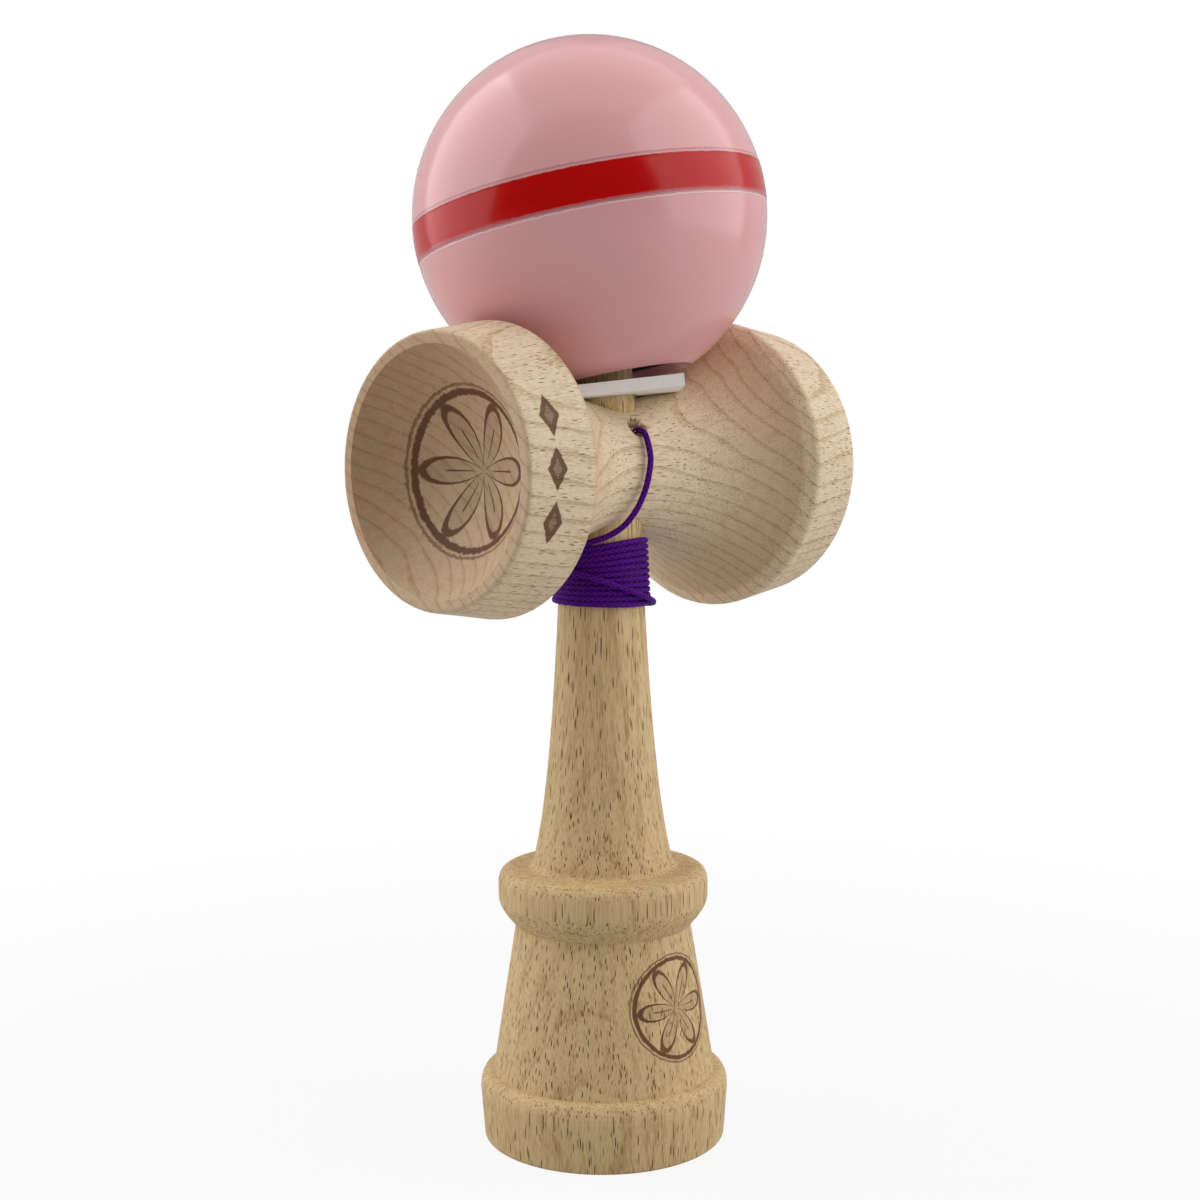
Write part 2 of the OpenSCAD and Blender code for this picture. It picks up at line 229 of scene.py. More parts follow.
# Where in the hole the lead starts, how far off the waist it hangs, and the radius of a bend over an edge
LEAD_START, LEAD_OFF, BEND = 6.6, 0.7, 2.2
BEND_ANGLES = [math.radians(b) for b in (0, 30, 60, 90)]
lead_lift = WAIST_R + LEAD_OFF - BEND
lead_points = [SARADO + LEAD_START * hole_out]
lead_points += [SARADO + (lead_lift + BEND * math.sin(b)) * hole_out + BEND * (1 - math.cos(b)) * hole_down
                for b in BEND_ANGLES]
lead_points += [(-0.4, -11.9, 118.5), (-0.9, -12, 115.5), (-1.6, -11.6, 112.5), (-2.6, -10.6, 109.5),
                (-3.9, -9.1, 107), (-5.4, -7, 105.3), (-6.9, -4.6, 104.3), wind_in - way_in, wind_in]
lead_route = smooth_route(lead_points)
lead = tube("string_lead_cord", lead_route, STRING_D)
print("lead", round(route_length(lead_route), 1), "mm")

# %% The tail from the winding to the bead
TAIL_JOIN = (5, 15, 122)
low_points = [wind_out, wind_out + way_out, (3.6, 8.4, 95.1), (4.8, 9.6, 96.8), (5, 10.3, 99.4),
              (5, 10.8, 102.4), (5, 11.8, 106), (5, 13, 110), (5, 13.8, 114), (5, 14, 118), TAIL_JOIN]
# The string's middle lies this far off the ball, and its points stand at equal angles over the ball's back
OFF_BALL = 0.85
OVER_R = BALL_R + OFF_BALL
OVER_START, OVER_STEP, OVER_JOIN = -32, 10, 2
OVER_X = (5, 5, 5, 5, 5, 5, 5, 5, 4.4, 3.1, 1.5)


def over_ball(x, angle):
    r = math.sqrt(OVER_R ** 2 - (x - BALL.x) ** 2)
    return Vector((x, BALL.y + r * math.cos(angle), BALL.z + r * math.sin(angle)))


over_angles = [math.radians(OVER_START + OVER_STEP * i) for i in range(len(OVER_X))]
over_points = [over_ball(x, angle) for x, angle in zip(OVER_X, over_angles)]
over_join, join_angle = over_points[OVER_JOIN], over_angles[OVER_JOIN]
join_way = STRAIGHT * Vector((0, -math.sin(join_angle), math.cos(join_angle)))
mid_points = [TAIL_JOIN, (5, 16, 126), (5, 18.4, 130), (5, 21.6, 133.8), (5, 25.4, 138.2)]
mid_points += over_points[:OVER_JOIN] + [over_join - join_way, over_join]
away = over_points[-1] - BALL
away = (away - BALL_AXIS * away.dot(BALL_AXIS)).normalized()
over_turn = [BALL + (OVER_R - BEND + BEND * math.cos(b)) * BALL_AXIS + BEND * (1 - math.sin(b)) * away
             for b in BEND_ANGLES]
inside_points = [BALL + h * BALL_AXIS for h in (22, 15.7, 8.3)]
high_points = [over_join, over_join + join_way] + over_points[OVER_JOIN + 1:] + over_turn + inside_points
low_route, mid_route, high_route = (smooth_route(p) for p in (low_points, mid_points, high_points))
tail_low = tube("string_tail_lower", low_route, STRING_D)
tail_mid = tube("string_tail_middle", mid_route, STRING_D)
tail_high = tube("string_tail_upper", high_route, STRING_D)
print("tail", [round(route_length(r), 1) for r in (low_route, mid_route, high_route)], "mm")

# %% [markdown]
# Each end of the string is stopped by a knot too big for its hole. A knot is the same cord laid
# in a small closed loop over itself, so its line is a trefoil, squeezed into the knot's room.

# %% Knots
# Diameter of the cord pulled tight in a knot, its middle's distance inside the knot, points on its line
KNOT_D, KNOT_INSET, KNOT_POINTS = 0.72, 0.35, 97
HOLE_KNOT_AT, HOLE_KNOT_R = 5.2, 1.5
BEAD_KNOT_AT, BEAD_KNOT_R = 6.9, 1.35


def knot(name, centre, axis, size):
    out = axis.to_track_quat("Z", "Y").to_matrix()
    line = []
    for i in range(KNOT_POINTS):
        a = 2 * math.pi * i / KNOT_POINTS
        flat_x = math.sin(a) + 2 * math.sin(2 * a)
        flat_y = math.cos(a) - 2 * math.cos(2 * a)
        spot = Vector((flat_x, flat_y, -1.4 * math.sin(3 * a)))
        line.append(centre + out @ (spot / 3 * (size - KNOT_INSET)))
    return tube(name, line, KNOT_D, sides=8)


hole_knot = knot("string_knot_tied", SARADO + HOLE_KNOT_AT * hole_out, hole_out, HOLE_KNOT_R)
bead_knot = knot("bead_knot_tied", BALL + BEAD_KNOT_AT * BALL_AXIS, BALL_AXIS, BEAD_KNOT_R)
print("knots tied at both ends")

# %% [markdown]
# Finishes are written as sums. One small class wraps a socket, so that colours and heights can be
# written the way a formula is, and one method makes any other node.

# %% A socket that can be used in sums


class Flow:
    def __init__(self, tree, socket):
        self.tree, self.socket = tree, socket

    def make(self, kind, settings=None, values=None, out=0):
        """A new node with these settings and inputs; a flow among the inputs is linked."""
        node = self.tree.nodes.new(kind)
        for key, value in (settings or {}).items():
            setattr(node, key, value)
        for key, value in (values or {}).items():
            if isinstance(value, Flow):
                self.tree.links.new(value.socket, node.inputs[key])
            else:
                node.inputs[key].default_value = value
        return Flow(self.tree, node.outputs[out])

    def math(self, operation, *others):
        values = {i: v for i, v in enumerate((self, *others))}
        return self.make("ShaderNodeMath", {"operation": operation}, values)

    def __add__(self, other):
        return self.math("ADD", other)

    __radd__ = __add__

    def __mul__(self, other):
        return self.math("MULTIPLY", other)

    __rmul__ = __mul__

    def __sub__(self, other):
        return self.math("SUBTRACT", other)

    def __rsub__(self, other):
        return self.make("ShaderNodeMath", {"operation": "SUBTRACT"}, {0: other, 1: self})

    def __truediv__(self, other):
        return self.math("DIVIDE", other)

    def __abs__(self):
        return self.math("ABSOLUTE")

    def step(self, low, high):
        """0 below low, 1 above high, and smooth between them."""
        return self.make("ShaderNodeMapRange", {"interpolation_type": "SMOOTHSTEP"},
                         {"Value": self, "From Min": low, "From Max": high})

    def noise(self, scale, detail=2.0, rough=0.5):
        return self.make("ShaderNodeTexNoise", None,
                         {"Vector": self, "Scale": scale, "Detail": detail, "Roughness": rough})

    def limited(self):
        return self.math("MAXIMUM", 0.0).math("MINIMUM", 1.0)

    def in_mm(self):
        return self.make("ShaderNodeVectorMath", {"operation": "SCALE"}, {0: self, "Scale": 1 / MM})

    def split(self):
        return [self.make("ShaderNodeSeparateXYZ", None, {0: self}, i) for i in range(3)]

    def with_others(self, second, third):
        """A vector whose first number is this one."""
        return self.make("ShaderNodeCombineXYZ", None, {0: self, 1: second, 2: third})

    def length(self):
        return self.make("ShaderNodeVectorMath", {"operation": "LENGTH"}, {0: self}, 1)

    def dot(self, way):
        return self.make("ShaderNodeVectorMath", {"operation": "DOT_PRODUCT"}, {0: self, 1: tuple(way)}, 1)

    def tint(self, first, second):
        """The first colour where this is 0 and the second where it is 1."""
        return self.make("ShaderNodeMix", {"data_type": "RGBA"}, {0: self, 6: first, 7: second}, 2)


def paint(*levels):
    """A colour as it is read off a picture, in levels up to 255, made ready for a shader."""
    shares = [level / 255 for level in levels]
    return (*(v / 12.92 if v < 0.0404 else ((v + 0.055) / 1.055) ** 2.4 for v in shares), 1)


def across_both(first, second):
    """The distance from the place where two flows are 0."""
    return (first * first + second * second).math("SQRT")


def new_finish(name, coordinates="Object"):
    material = bpy.data.materials.new(name)
    material.use_nodes = True
    tree = material.node_tree
    shader = tree.nodes["Principled BSDF"]
    texture = tree.nodes.new("ShaderNodeTexCoord")
    start = Flow(tree, texture.outputs[coordinates])
    return material, shader, start


def wear(piece, material):
    piece.data.materials.clear()
    piece.data.materials.append(material)


def join(flow, shader, socket):
    flow.tree.links.new(flow.socket, shader.inputs[socket])


def bump(flow, shader, distance):
    made = flow.make("ShaderNodeBump", None, {"Height": flow, "Distance": distance, "Strength": 1.0})
    join(made, shader, "Normal")


# %% [markdown]
# Beech is pale and even. What tells it from other woods is its flecks: short brown dashes that
# run with the grain, over faint growth lines. The ken is turned along its grain, so its dashes
# stand upright; the sarado's run from cup to cup. Growth lines are far-off circles round a heart
# that lies outside the piece, so turned flares cut them into curves. All of this is worked out
# from the place in the wood, not painted on the skin, so it meets at every edge.

# %% Beech
# Counts in a millimetre, across the grain and along it
FLECKS_ACROSS, FLECKS_ALONG = 3.2, 0.17
PORES_ACROSS, PORES_ALONG = 6.0, 0.14
# Pace of the tones along the grain next to across it, rings that growth lines wander, and the mean tone
STRETCH, WANDER, MEAN_SHADE = 0.03, 2.0, 0.16
BURNED = (96, 52, 22)


def turned_beech(name, grain, heart, colours, burn=None, ring_gap=2.6, lines=0.3, flecks=0.7, spared=0.4,
                 streaks=1.0, ends=None):
    """Wood with its grain along axis number grain; heart is the growth rings' middle, in the other two axes.
    The colours are the pale wood, its dark lines, its flecks and its end grain. lines and flecks say how dark
    those are, spared how many places have no fleck, and streaks how much the tone swings. burn and ends are
    functions that say where the wood is burned and where it shows end grain; the sarado's ones also make it
    browner at the string hole and paint shade on the upper wall of its bowls."""
    pale, deep, fleck_colour, end_colour = (paint(*c) for c in colours)
    material, shader, start = new_finish(name)
    parts = start.in_mm().split()
    first, second = [parts[i] for i in range(3) if i != grain]
    along = parts[grain]
    stretched = first.with_others(second, along * STRETCH)
    from_heart = (first - heart[0]).with_others(second - heart[1], 0.0).length()
    ring = (from_heart / ring_gap + stretched.noise(0.06, 2) * WANDER).math("FRACT")
    late = ring.step(0.66, 0.97) * (1 - ring.step(0.97, 1.0))
    tone = stretched.noise(0.8, 3)
    cells = (first * FLECKS_ACROSS).with_others(second * FLECKS_ACROSS, along * FLECKS_ALONG)
    nearest, spots = {"feature": "F1"}, {"Vector": cells, "Scale": 1.0}
    from_cell, cell_colour = (cells.make("ShaderNodeTexVoronoi", nearest, spots, i) for i in range(2))
    lot = cell_colour.make("ShaderNodeSeparateColor", None, {0: cell_colour})
    fleck = (1 - from_cell.step(0.24, 0.36)) * lot.step(spared, spared + 0.3)
    pores = (first * PORES_ACROSS).with_others(second * PORES_ACROSS, along * PORES_ALONG).noise(1.0, 3, 0.6)
    shade = late * lines + (tone - 0.5) * streaks + MEAN_SHADE + (pores - 0.5) * 3.2
    colour = shade.limited().tint(pale, deep)
    if ends is not None:
        # For the sarado this mask is end grain, plus painted shade on the bowls' upper wall
        end_grain_and_shade = ends(parts)
        fleck = fleck * (1 - end_grain_and_shade * 2.2)
        colour = end_grain_and_shade.tint(colour, end_colour)
    colour = (fleck * flecks).tint(colour, fleck_colour)
    height = pores * 0.3 - fleck * 0.6
    if burn is not None:
        mark = burn(parts, stretched)
        colour = (mark * 0.92).tint(colour, paint(*BURNED))
        height = height - mark * 2.0
    join(colour, shader, "Base Color")
    join(0.50 + tone * 0.14 + fleck * 0.1, shader, "Roughness")
    shader.inputs["Specular IOR Level"].default_value = 0.3
    bump(height, shader, 0.00006)
    return material


# %% [markdown]
# Plain turner's ornaments are burned into the wood: a six-petalled rosette in the near cup and on the body,
# and three lozenges on the near cup's wall. A burned mark is a mask on the wood's own place, with an edge
# that noise makes uneven, as a hot tool leaves it. The wood is also made browner in and round the mouth of
# the string hole.

# %% Burned ornaments
# Radius of the two rosettes, and the height of the one on the body
CUP_ROSETTE, BODY_ROSETTE, BODY_ROSETTE_Z = 11.5, 7.4, 25.6
# The lozenges' place along the cross piece, their places round the wall, and the radius these are taken at
LOZENGE_X, LOZENGES, WALL_R = -33.0, (9.2, 0.8, -7.6), 23.0
# Half a lozenge along the cross piece and round the wall
LOZENGE_W, LOZENGE_H = 1.9, 3.7
# The mouth of the string hole, from the middle of the cross piece
hole_mouth = WAIST_R * hole_out


def rosette(across_flow, up_flow, size, ragged):
    """Petals inside a ring, burned round a middle where both flows are 0."""
    angle = up_flow.math("ARCTAN2", across_flow)
    reach = across_both(across_flow, up_flow) / size + (ragged - 0.5) * 0.06
    petal = abs((angle * 3.0).math("COSINE"))
    edge = 1 - abs(reach - petal).step(0.035, 0.085)
    inner = (1 - reach.step(0.62, 0.70)) * reach.step(0.16, 0.22)
    vein = (1 - abs((angle * 3.0).math("SINE")).step(0.02, 0.10)) * inner
    ring = 1 - abs(reach - 1.10).step(0.03, 0.06)
    thin = 1 - abs(reach - 1.20).step(0.008, 0.03)
    inside = 1 - (reach - petal).step(-0.02, 0.02)
    return (edge + vein * 0.8 + ring + thin * 0.7 + inside * 0.22).math("MINIMUM", 1.0)


def cup_marks(parts, stretched):
    x, y, z = parts
    ragged = stretched.noise(1.4, 2)
    up = z - SARADO.z
    reach = across_both(y, up)
    bowl = (1 - x.step(-26.6, -26.2)) * (1 - reach.step(17.5, 17.9))
    marks = rosette(y, up, CUP_ROSETTE, ragged) * bowl
    round_wall = up.math("ARCTAN2", 0 - y) * WALL_R
    wall = (0 - y).step(4, 6) * (1 - x.step(-26.4, -26)) * reach.step(21.0, 21.6)
    for spot in LOZENGES:
        shape = abs(x - LOZENGE_X) / LOZENGE_W + abs(round_wall - spot) / LOZENGE_H + (ragged - 0.5) * 0.3
        marks = marks + (1 - shape.step(0.86, 1.0)) * (0.8 + 0.2 * shape.step(0.35, 0.5)) * wall
    from_hole = x.with_others(y - hole_mouth.y, up - hole_mouth.z).length()
    # Browner in and round the mouth of the string hole
    browner_at_hole = 1 - (from_hole + (stretched.noise(2.6, 3) - 0.5) * 4.0).step(0.9, 2.1)
    return marks + browner_at_hole * 0.75


def body_mark(parts, stretched):
    x, y, z = parts
    front = (0 - y).step(8, 9)
    return rosette(x, z - BODY_ROSETTE_Z, BODY_ROSETTE, stretched.noise(1.4, 2)) * front


def cup_ends_and_shade(parts):
    """How much end grain shows: most in the bowls, some on the flares, none on the walls and the waist.
    Painted shade makes the bowls browner towards their upper far wall.
    """
    x, y, z = parts
    up = z - SARADO.z
    out = abs(x)
    bowl = out.step(26, 27) * (1 - across_both(y, up).step(21.6, 22.4))
    flare = out.step(8, 25) * (1 - out.step(25.6, 26.4))
    # Painted shade: browner towards the bowls' upper far wall, where they are shaded
    painted_shade_upper_wall = (y * 0.8 + up * 0.6).step(-10, 18)
    return bowl * (0.33 + painted_shade_upper_wall * 0.20) + flare * 0.32


SARADO_COLOURS = ((234, 213, 182), (194, 163, 124), (118, 74, 38), (152, 92, 32))
KEN_COLOURS = ((218, 189, 140), (172, 136, 86), (78, 44, 16), (150, 106, 60))
BEAD_COLOURS = ((190, 150, 104), (158, 116, 72), (110, 74, 42), (130, 90, 50))
ALONG_X, ALONG_Z = 0, 2
SARADO_HEART, KEN_HEART, BEAD_HEART = (80, 20), (40, 26), (9, 6)
woods = {
    "sarado": turned_beech("pale_beech", ALONG_X, SARADO_HEART, SARADO_COLOURS, cup_marks, ring_gap=2.3,
                           lines=0.56, flecks=0.70, spared=0.55, streaks=1.1, ends=cup_ends_and_shade),
    "ken": turned_beech("tan_beech", ALONG_Z, KEN_HEART, KEN_COLOURS, body_mark, ring_gap=1.9, lines=0.28,
                        flecks=0.95, spared=0.46, streaks=1.4),
    "bead": turned_beech("bead_beech", ALONG_Z, BEAD_HEART, BEAD_COLOURS, ring_gap=1.4)}
for node, wood in woods.items():
    wear(bpy.data.objects[node], wood)
print("beech on ken, sarado and bead")

# %% [markdown]
# The drill tore the wood where the string hole comes out of the waist, and short splinters still
# stand there. They could be modelled one by one, but they only repeat round a ring, so Geometry
# Nodes set one thin cone on each point of a circle, and vary its lean and size with a fixed seed.
# The result is made a plain mesh and laid on the hole, leaning out of the wood.

# %% Splinters round the string hole
# Corners of a splinter, radius of its tip, limits of its random lean and of its size, and how deep it is sunk
CORNERS, TIP_R = 6, 0.01
LEAN_FROM, LEAN_TO = (-0.7, -0.7, 0.05), (0.7, 0.7, 0.8)
SMALLEST, BIGGEST = 0.4, 1.15
SUNK = 0.1


def splinter_tree():
    tree = bpy.data.node_groups.new("torn_hole", "GeometryNodeTree")
    tree.interface.new_socket(name="Geometry", in_out="OUTPUT", socket_type="NodeSocketGeometry")
    for label, kind in (("Hole radius", "Float"), ("Splinter length", "Float"), ("Splinter width", "Float"),
                        ("Splinters", "Int"), ("Seed", "Int"), ("Wood", "Material")):
        tree.interface.new_socket(name=label, in_out="INPUT", socket_type="NodeSocket" + kind)
    start = Flow(tree, tree.nodes.new("NodeGroupInput").outputs[0])
    given = {socket.name: Flow(tree, socket) for socket in start.socket.node.outputs if socket.name}
    ring = start.make("GeometryNodeMeshCircle", None, {
        "Vertices": given["Splinters"], "Radius": given["Hole radius"]})
    cone = start.make("GeometryNodeMeshCone", None, {
        "Vertices": CORNERS, "Radius Top": TIP_R * MM, "Radius Bottom": given["Splinter width"] / 2,
        "Depth": given["Splinter length"]})
    place = start.make("GeometryNodeInputPosition")
    outward = start.make("ShaderNodeVectorMath", {"operation": "NORMALIZE"}, {0: place})
    lean = start.make("FunctionNodeRandomValue", {"data_type": "FLOAT_VECTOR"}, {
        0: LEAN_FROM, 1: LEAN_TO, "Seed": given["Seed"]})
    way = start.make("ShaderNodeVectorMath", {"operation": "ADD"}, {0: outward, 1: lean})
    turned = start.make("FunctionNodeAlignRotationToVector", {"axis": "Z"}, {"Vector": way})
    size = start.make("FunctionNodeRandomValue", {"data_type": "FLOAT"}, {
        2: SMALLEST, 3: BIGGEST, "Seed": given["Seed"] + 1}, 1)
    placed = start.make("GeometryNodeInstanceOnPoints", None, {
        "Points": ring, "Instance": cone, "Rotation": turned, "Scale": size})
    plain = start.make("GeometryNodeRealizeInstances", None, {"Geometry": placed})
    worn = start.make("GeometryNodeSetMaterial", None, {"Geometry": plain, "Material": given["Wood"]})
    tree.links.new(worn.socket, tree.nodes.new("NodeGroupOutput").inputs[0])
    return tree


TORN_COLOURS = ((196, 150, 98), (140, 92, 50), (84, 48, 20), (110, 66, 30))
torn_beech = turned_beech("torn_beech", ALONG_X, SARADO_HEART, TORN_COLOURS, ring_gap=0.8)
splinters = bpy.data.objects.new("hole_splinters", bpy.data.meshes.new("hole_splinters"))
bpy.context.collection.objects.link(splinters)
tearing = splinters.modifiers.new("tearing", "NODES")
tearing.node_group = splinter_tree()
sizes = {"Hole radius": 1.3 * MM, "Splinter length": 1.5 * MM, "Splinter width": 0.34 * MM,
         "Splinters": 15, "Seed": 4, "Wood": torn_beech}
for socket in tearing.node_group.interface.items_tree:
    if socket.in_out == "INPUT":
        tearing[socket.identifier] = sizes[socket.name]
bpy.context.view_layer.update()
grown = splinters.evaluated_get(bpy.context.evaluated_depsgraph_get())
torn_mesh = bpy.data.meshes.new_from_object(grown)
splinters.modifiers.remove(tearing)
splinters.data = torn_mesh
along_waist = Vector((1, 0, 0))
hole_frame = Matrix((along_waist, hole_out.cross(along_waist), hole_out)).transposed().to_4x4()
torn_mesh.transform(Matrix.Translation((SARADO + (WAIST_R - SUNK) * hole_out) * MM) @ hole_frame)
print("splinters:", len(torn_mesh.polygons), "faces")

# %% [markdown]
# The ball is sprayed with a thick glossy lacquer, and the band is a second coat over masking tape. Lacquer is
# a coloured coat under a clear one, with a faint orange-peel waviness. Where the tape came off, the band's
# edges are a little ragged and go pale, partly from thin paint and partly as a painted highlight, paler on
# the upper edge. A painted shadow line lies beside them, and a thin ridge under the lower one carries a
# painted highlight. No lacquer gets into the bore, and its dark colour is painted shade.

# %% Lacquer
# The band's middle, over the ball's centre along its axis, and distances from it to the painted shadow line
# and the ridge
BAND_MIDDLE, SHADOW_LINE_AT, RIDGE_AT = 0.45, 3.34, 3.66
# The band's pale edges below and above its middle, partly painted highlight; the painted shadow line, the
# ridge's painted highlight and the bore's painted shade
PALE_UNDER, PALE_OVER = (196, 112, 116), (232, 178, 180)
SHADOW_LINE_COLOUR, RIDGE_HIGHLIGHT_COLOUR, BORE_SHADE_COLOUR = (150, 66, 74), (252, 230, 230), (52, 33, 22)


def lacquer(name, colours, band=False):
    main, other = (paint(*c) for c in colours)
    material, shader, start = new_finish(name)
    place = start.in_mm()
    speck = place.noise(2.2, 3)
    colour = (place.noise(0.05, 2) * 0.5 + (speck - 0.5) * 0.25).tint(main, other)
    height = place.noise(0.35, 1)
    from_ball = start.make("ShaderNodeVectorMath", {"operation": "SUBTRACT"}, {0: place, 1: tuple(BALL)})
    up, far_out = from_ball.dot(BALL_AXIS), from_ball.length()
    off_axis = (far_out * far_out - up * up).math("SQRT")
    # Painted shade: the unlacquered bore is coloured dark, as deep shade
    painted_bore_shade = (1 - off_axis.step(10.9, 11.3)) * (1 - far_out.step(28.7, 29.2))
    colour = painted_bore_shade.tint(colour, paint(*BORE_SHADE_COLOUR))
    from_middle = abs(up - BAND_MIDDLE) + (place.noise(0.9, 3) - 0.5) * 0.3
    over = (up - BAND_MIDDLE).step(-0.1, 0.1)
    if band:
        # The band's pale edges: thin paint and a painted highlight, paler on the upper edge
        edge = from_middle.step(2.74, 2.96)
        colour = (edge * 0.85).tint(colour, over.tint(paint(*PALE_UNDER), paint(*PALE_OVER)))
        height = height + from_middle.step(2.5, 2.9) * 1.5
    else:
        # A painted shadow line beside the band, and a painted highlight on the ridge under its lower edge
        line = 1 - abs(from_middle - SHADOW_LINE_AT).step(0.08, 0.24)
        ridge = (1 - abs(from_middle - RIDGE_AT).step(0.06, 0.20)) * (1 - over)
        colour = (line * 0.4).tint(colour, paint(*SHADOW_LINE_COLOUR))
        colour = (ridge * 0.5).tint(colour, paint(*RIDGE_HIGHLIGHT_COLOUR))
        height = height + ridge * 1.5
    join(colour, shader, "Base Color")
    join(0.15 + speck * 0.06, shader, "Roughness")
    shader.inputs["Specular IOR Level"].default_value = 0.32 if band else 0.42
    shader.inputs["Coat Weight"].default_value = 0.05 if band else 0.1
    shader.inputs["Coat Roughness"].default_value = 0.08
    bump(height, shader, 0.00004)
    return material


PINK, RED = ((234, 172, 174), (226, 160, 162)), ((200, 9, 5), (186, 5, 3))
wear(bpy.data.objects["tama"], lacquer("pink_lacquer", PINK))
wear(bpy.data.objects["tama_stripe"], lacquer("red_lacquer", RED, band=True))
print("lacquer on the ball and its band")

# %% [markdown]
# A thin white card keeps the ball off the cross piece. Card is matt, with a faint fibre in it.

# %% Card


def white_card():
    material, shader, start = new_finish("white_card")
    fibre = start.in_mm().noise(3.0, 4, 0.65)
    colour = (fibre * 0.5).tint(paint(253, 253, 252), paint(243, 243, 242))
    join(colour, shader, "Base Color")
    join(0.62 + fibre * 0.2, shader, "Roughness")
    bump(fibre, shader, 0.00005)
    return material


wear(bpy.data.objects["spacer"], white_card())
print("card on the spacer")

# %% [markdown]
# The string is a tight round braid. Its strands run both ways round the cord, so two sets of slanted waves on
# the tube's own map give the plaited look, with painted shade in the gaps.

# %% Braid
# Strands each way round the cord, and how many of them pass in a millimetre
STRANDS, STRANDS_PASSING = 4.0, 0.95


def braid():
    material, shader, start = new_finish("purple_braid", "UV")
    around, along, _ = start.split()
    left = ((around * STRANDS + along * STRANDS_PASSING) * (2 * math.pi)).math("SINE")
    right = ((around * STRANDS - along * STRANDS_PASSING) * (2 * math.pi)).math("SINE")
    strand = left.math("MAXIMUM", right) * 0.5 + 0.5
    fuzz = (around * 12.0).with_others(along * 6.0, 0.0).noise(1.0, 2)
    # Painted shade: 0 darkens the gaps between strands as if shaded, 1 is the strands' own purple, with fibre
    # fuzz over it
    painted_gap_shade_mix = (strand * 0.85 + (fuzz - 0.5) * 0.5).math("MAXIMUM", 0.0)
    join(painted_gap_shade_mix.tint(paint(20, 0, 44), paint(102, 12, 160)), shader, "Base Color")
    join(0.52 + fuzz * 0.25, shader, "Roughness")
    shader.inputs["Specular IOR Level"].default_value = 0.12
    bump(strand + fuzz * 0.3, shader, 0.00012)
    return material


purple_braid = braid()
for piece in (winding, lead, tail_low, tail_mid, tail_high, hole_knot, bead_knot):
    wear(piece, purple_braid)
print("braid on the string")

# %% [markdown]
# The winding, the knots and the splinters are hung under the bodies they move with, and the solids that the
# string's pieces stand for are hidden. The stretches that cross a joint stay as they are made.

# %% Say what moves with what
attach(winding, "ken")
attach(hole_knot, "sarado")
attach(splinters, "sarado")
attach(bead_knot, "bead")
stands_for = {winding: "string_winding", lead: "string_lead", tail_low: "string_tail_low",
              tail_mid: "string_tail_mid", tail_high: "string_tail_high",
              hole_knot: "string_knot", bead_knot: "bead_knot"}
for piece, node in stands_for.items():
    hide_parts(node)
# This many of the upper tail's first points reach near the ball's widest place
NEAR_WIDEST = 26
bending = ((lead, lead_route[::-1], "ken", "sarado"), (tail_low, low_route, "ken", "sarado"),
           (tail_mid, mid_route, "sarado", "spacer"), (tail_high, high_route[:NEAR_WIDEST], "spacer", "bead"))
for piece, route, below, above in bending:
    tuple(route[2] * MM)
    tuple(route[-3] * MM)
    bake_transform(piece)


def declare(route):
    tuple(route[0] * MM)
    route_length(route) * MM
    [tuple(p * MM) for p in route]


declare(lead_route)
declare(winding_route)
declare(low_route)
declare(mid_route)
declare(high_route)
print("string declared in", len(stands_for) - 2, "stretches")

# %% [markdown]
# The photograph is a studio shot on white: two broad lamps, left and right, leave long soft
# highlights on the ball and a darker middle, and weaker ones behind and above fill the edges. The
# floor is white to the camera, and keeps the toy's own shadow. What the lacquer mirrors is the
# white behind the toy, dimmed, and an almost dark room in front of it.

# %% Studio


def lamp(name, place, size, watts, aim=(0, 0, 110)):
    data = bpy.data.lights.new(name, "AREA")
    data.shape = "RECTANGLE"
    data.size, data.size_y = (s * MM for s in size)
    data.energy = watts
    made = bpy.data.objects.new(name, data)
    bpy.context.collection.objects.link(made)
    made.location = Vector(place) * MM
    made.visible_camera = False
    made.rotation_mode = "QUATERNION"
    made.rotation_quaternion = ((Vector(aim) - Vector(place)) * MM).to_track_quat("-Z", "Y")


def beside(right, near, up):
    """A place given as seen by the camera: to its right, towards it, and up from the floor."""
    flat = Vector((CAMERA_LOOKS.x, CAMERA_LOOKS.y, 0)).normalized()
    return tuple(right * Vector((flat.y, -flat.x, 0)) - near * flat + Vector((0, 0, up)))


lamp("left_softbox", beside(-897, -78, 600), (1350, 1300), 9.0)
lamp("right_softbox", beside(889, 141, 600), (1460, 1300), 9.3)
lamp("left_rear_softbox", beside(-570, -800, 600), (900, 1300), 0.8)
lamp("right_rear_softbox", beside(570, -800, 600), (900, 1300), 0.8)
lamp("top_softbox", beside(0, -100, 1200), (1300, 1300), 3.8)

# Light from all round, how much of the white a mirrored ray sees, and how much of the fill it loses
FILL, IN_GLOSS, GLOSS_LOSS = 0.25, 0.3, 0.9
RAY_KINDS = ("Is Camera Ray", "Is Glossy Ray", "Is Transmission Ray")


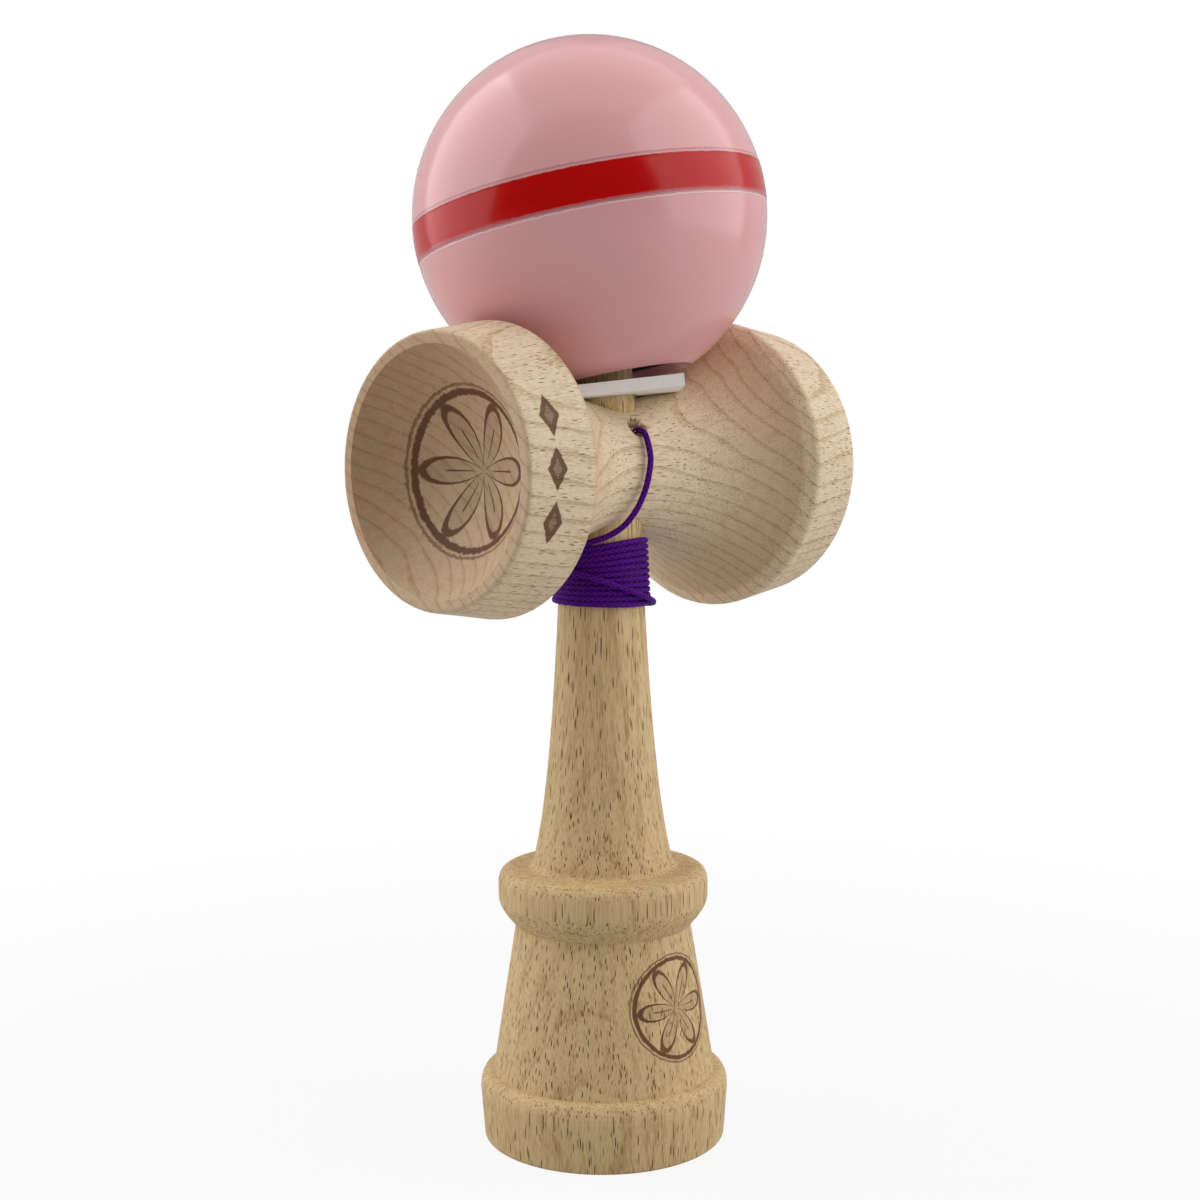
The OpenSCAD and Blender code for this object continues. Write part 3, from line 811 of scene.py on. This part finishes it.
def ray_kinds(tree):
    rays = tree.nodes.new("ShaderNodeLightPath")
    return (Flow(tree, rays.outputs[kind]) for kind in RAY_KINDS)


world = bpy.data.worlds.new("studio")
bpy.context.scene.world = world
world.use_nodes = True
seen, mirrored, through = ray_kinds(world.node_tree)
backdrop = seen.make("ShaderNodeTexCoord").dot(CAMERA_LOOKS).step(-0.1, 0.4)
surround = world.node_tree.nodes["Background"]
surround.inputs["Color"].default_value = (1, 1, 1, 1)
strength = FILL + seen * (1 - FILL) + (mirrored + through) * (backdrop * IN_GLOSS - GLOSS_LOSS * FILL)
join(strength, surround, "Strength")

# Half the floor's side in metres, its grey, and how white it is to the camera beside the toy
FLOOR_REACH, FLOOR_GREY, NEAR_WHITE = 6.0, 0.52, 0.9
corners = [(x * FLOOR_REACH, y * FLOOR_REACH, 0) for x, y in ((-1, -1), (1, -1), (1, 1), (-1, 1))]
floor_mesh = bpy.data.meshes.new("floor")
floor_mesh.from_pydata(corners, [], [(0, 1, 2, 3)])
floor = bpy.data.objects.new("floor", floor_mesh)
bpy.context.collection.objects.link(floor)
floor_finish, floor_shader, floor_place = new_finish("white_floor")
floor_shader.inputs["Base Color"].default_value = (FLOOR_GREY, FLOOR_GREY, FLOOR_GREY, 1)
floor_shader.inputs["Roughness"].default_value = 0.9
floor_tree = floor_finish.node_tree
to_camera, to_gloss, to_glass = ray_kinds(floor_tree)
whiteness = NEAR_WHITE + floor_place.length().step(0.08, 0.30) * (1 - NEAR_WHITE)
share = (to_camera + (to_gloss + to_glass) * IN_GLOSS) * whiteness
glow = floor_place.make("ShaderNodeEmission", None, {"Strength": 1.0})
plain = Flow(floor_tree, floor_shader.outputs[0])
mixed = floor_place.make("ShaderNodeMixShader", None, {0: share, 1: plain, 2: glow})
join(mixed, floor_tree.nodes["Material Output"], "Surface")
wear(floor, floor_finish)
bpy.context.scene.view_settings.view_transform = "Standard"
print("studio lit")

# %% [markdown]
# The last cell brings the scene up to date.

# %% Finish
bpy.context.view_layer.update()
